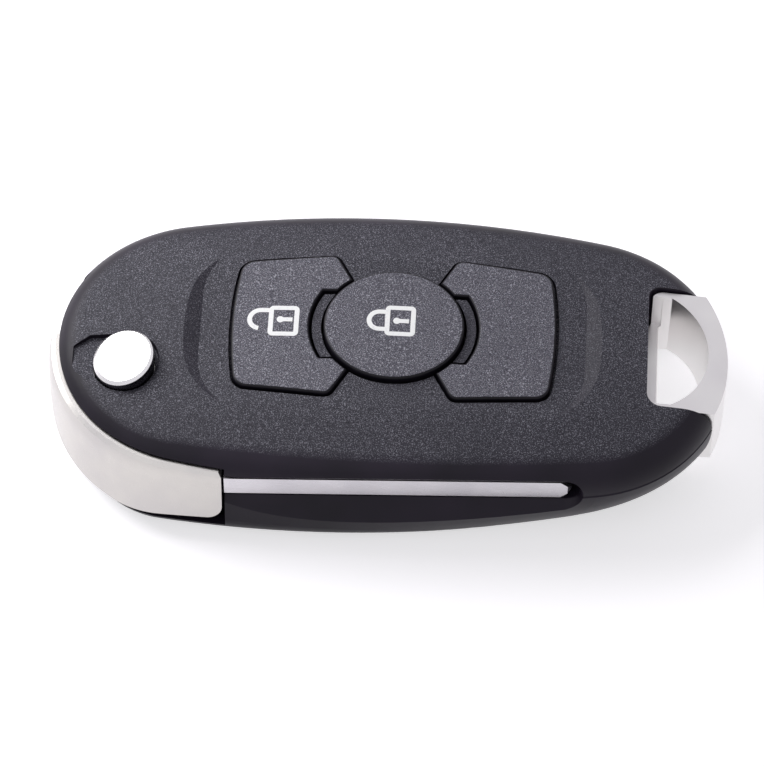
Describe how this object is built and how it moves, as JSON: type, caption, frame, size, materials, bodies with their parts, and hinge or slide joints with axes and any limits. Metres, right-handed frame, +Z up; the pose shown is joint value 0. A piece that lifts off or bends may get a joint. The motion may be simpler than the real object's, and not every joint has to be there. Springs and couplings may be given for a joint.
{
  "type": "key fob shell",
  "caption": "Rounded flip key fob: grained black shell with recessed keypad, chrome head band, release button and key ring bow, folded blade blank in its side.",
  "frame": {"origin": "under the middle of the whole fob, on the surface that it lies on", "axes": "+X along the fob to the key ring end, +Z up through the keypad with the fob lying on its back, so the folded blade faces -Y"},
  "size_m": [0.0784, 0.0382, 0.0157],
  "materials": {
    "case_plastic": "fine spark-eroded grain on top, smooth drafted sides, charcoal black",
    "button_plastic": "fine grain, charcoal black, white padlock symbols on two of the buttons",
    "bright_chrome": "polished, warm light grey",
    "head_plastic": "smooth black",
    "blade_steel": "ground and nickel plated",
    "spring_steel": "drawn wire",
    "pin_steel": "rolled strip",
    "frame_plastic": "smooth black moulding",
    "mat_rubber": "soft dark grey",
    "board_laminate": "green lacquered laminate",
    "switch_plastic": "black moulding",
    "chip_resin": "fine matt moulding",
    "crystal_can": "drawn can",
    "coil_copper": "lacquered copper winding",
    "cell_steel": "satin can",
    "clip_steel": "plated strip",
    "screw_steel": "black oxide"
  },
  "bodies": {
    "case": {"front_cover": "case_plastic", "rear_cover": "case_plastic", "flip_spring": "spring_steel", "keypad_frame": "frame_plastic", "keypad_mat": "mat_rubber", "circuit_board": "board_laminate", "switch_unlock": "switch_plastic", "switch_lock": "switch_plastic", "switch_blank": "switch_plastic", "controller_chip": "chip_resin", "radio_crystal": "crystal_can", "transponder_coil": "coil_copper", "coin_cell": "cell_steel", "battery_clip_positive": "clip_steel", "battery_clip_negative": "clip_steel", "key_ring_bow": "bright_chrome", "case_screw_head": "screw_steel", "case_screw_tail": "screw_steel"},
    "flip_key": {"flip_head": "head_plastic", "head_band": "bright_chrome", "key_blade": "blade_steel", "blade_pin": "pin_steel"},
    "release_button": {"release_button": "bright_chrome"},
    "unlock_button": {"unlock_button": "button_plastic"},
    "lock_button": {"lock_button": "button_plastic"},
    "blank_button": {"blank_button": "button_plastic"}
  },
  "joints": [
    {"name": "blade_flip", "type": "hinge", "parent": "case", "child": "flip_key", "pos_m": [-0.0299, -0.0047, 0.0067], "axis": [0, 0, 1], "range_deg": [-180, 0]},
    {"name": "release_press", "type": "slide", "parent": "case", "child": "release_button", "axis": [0, 0, -1], "range_m": [0, 0.0016], "stiffness_N_per_m": 600, "deforming": ["flip_spring"]},
    {"name": "unlock_button_press", "type": "slide", "parent": "case", "child": "unlock_button", "axis": [0, 0, -1], "range_m": [0, 0.0006], "stiffness_N_per_m": 1000},
    {"name": "lock_button_press", "type": "slide", "parent": "case", "child": "lock_button", "axis": [0, 0, -1], "range_m": [0, 0.0006], "stiffness_N_per_m": 1000},
    {"name": "blank_button_press", "type": "slide", "parent": "case", "child": "blank_button", "axis": [0, 0, -1], "range_m": [0, 0.0006], "stiffness_N_per_m": 1000}
  ]
}
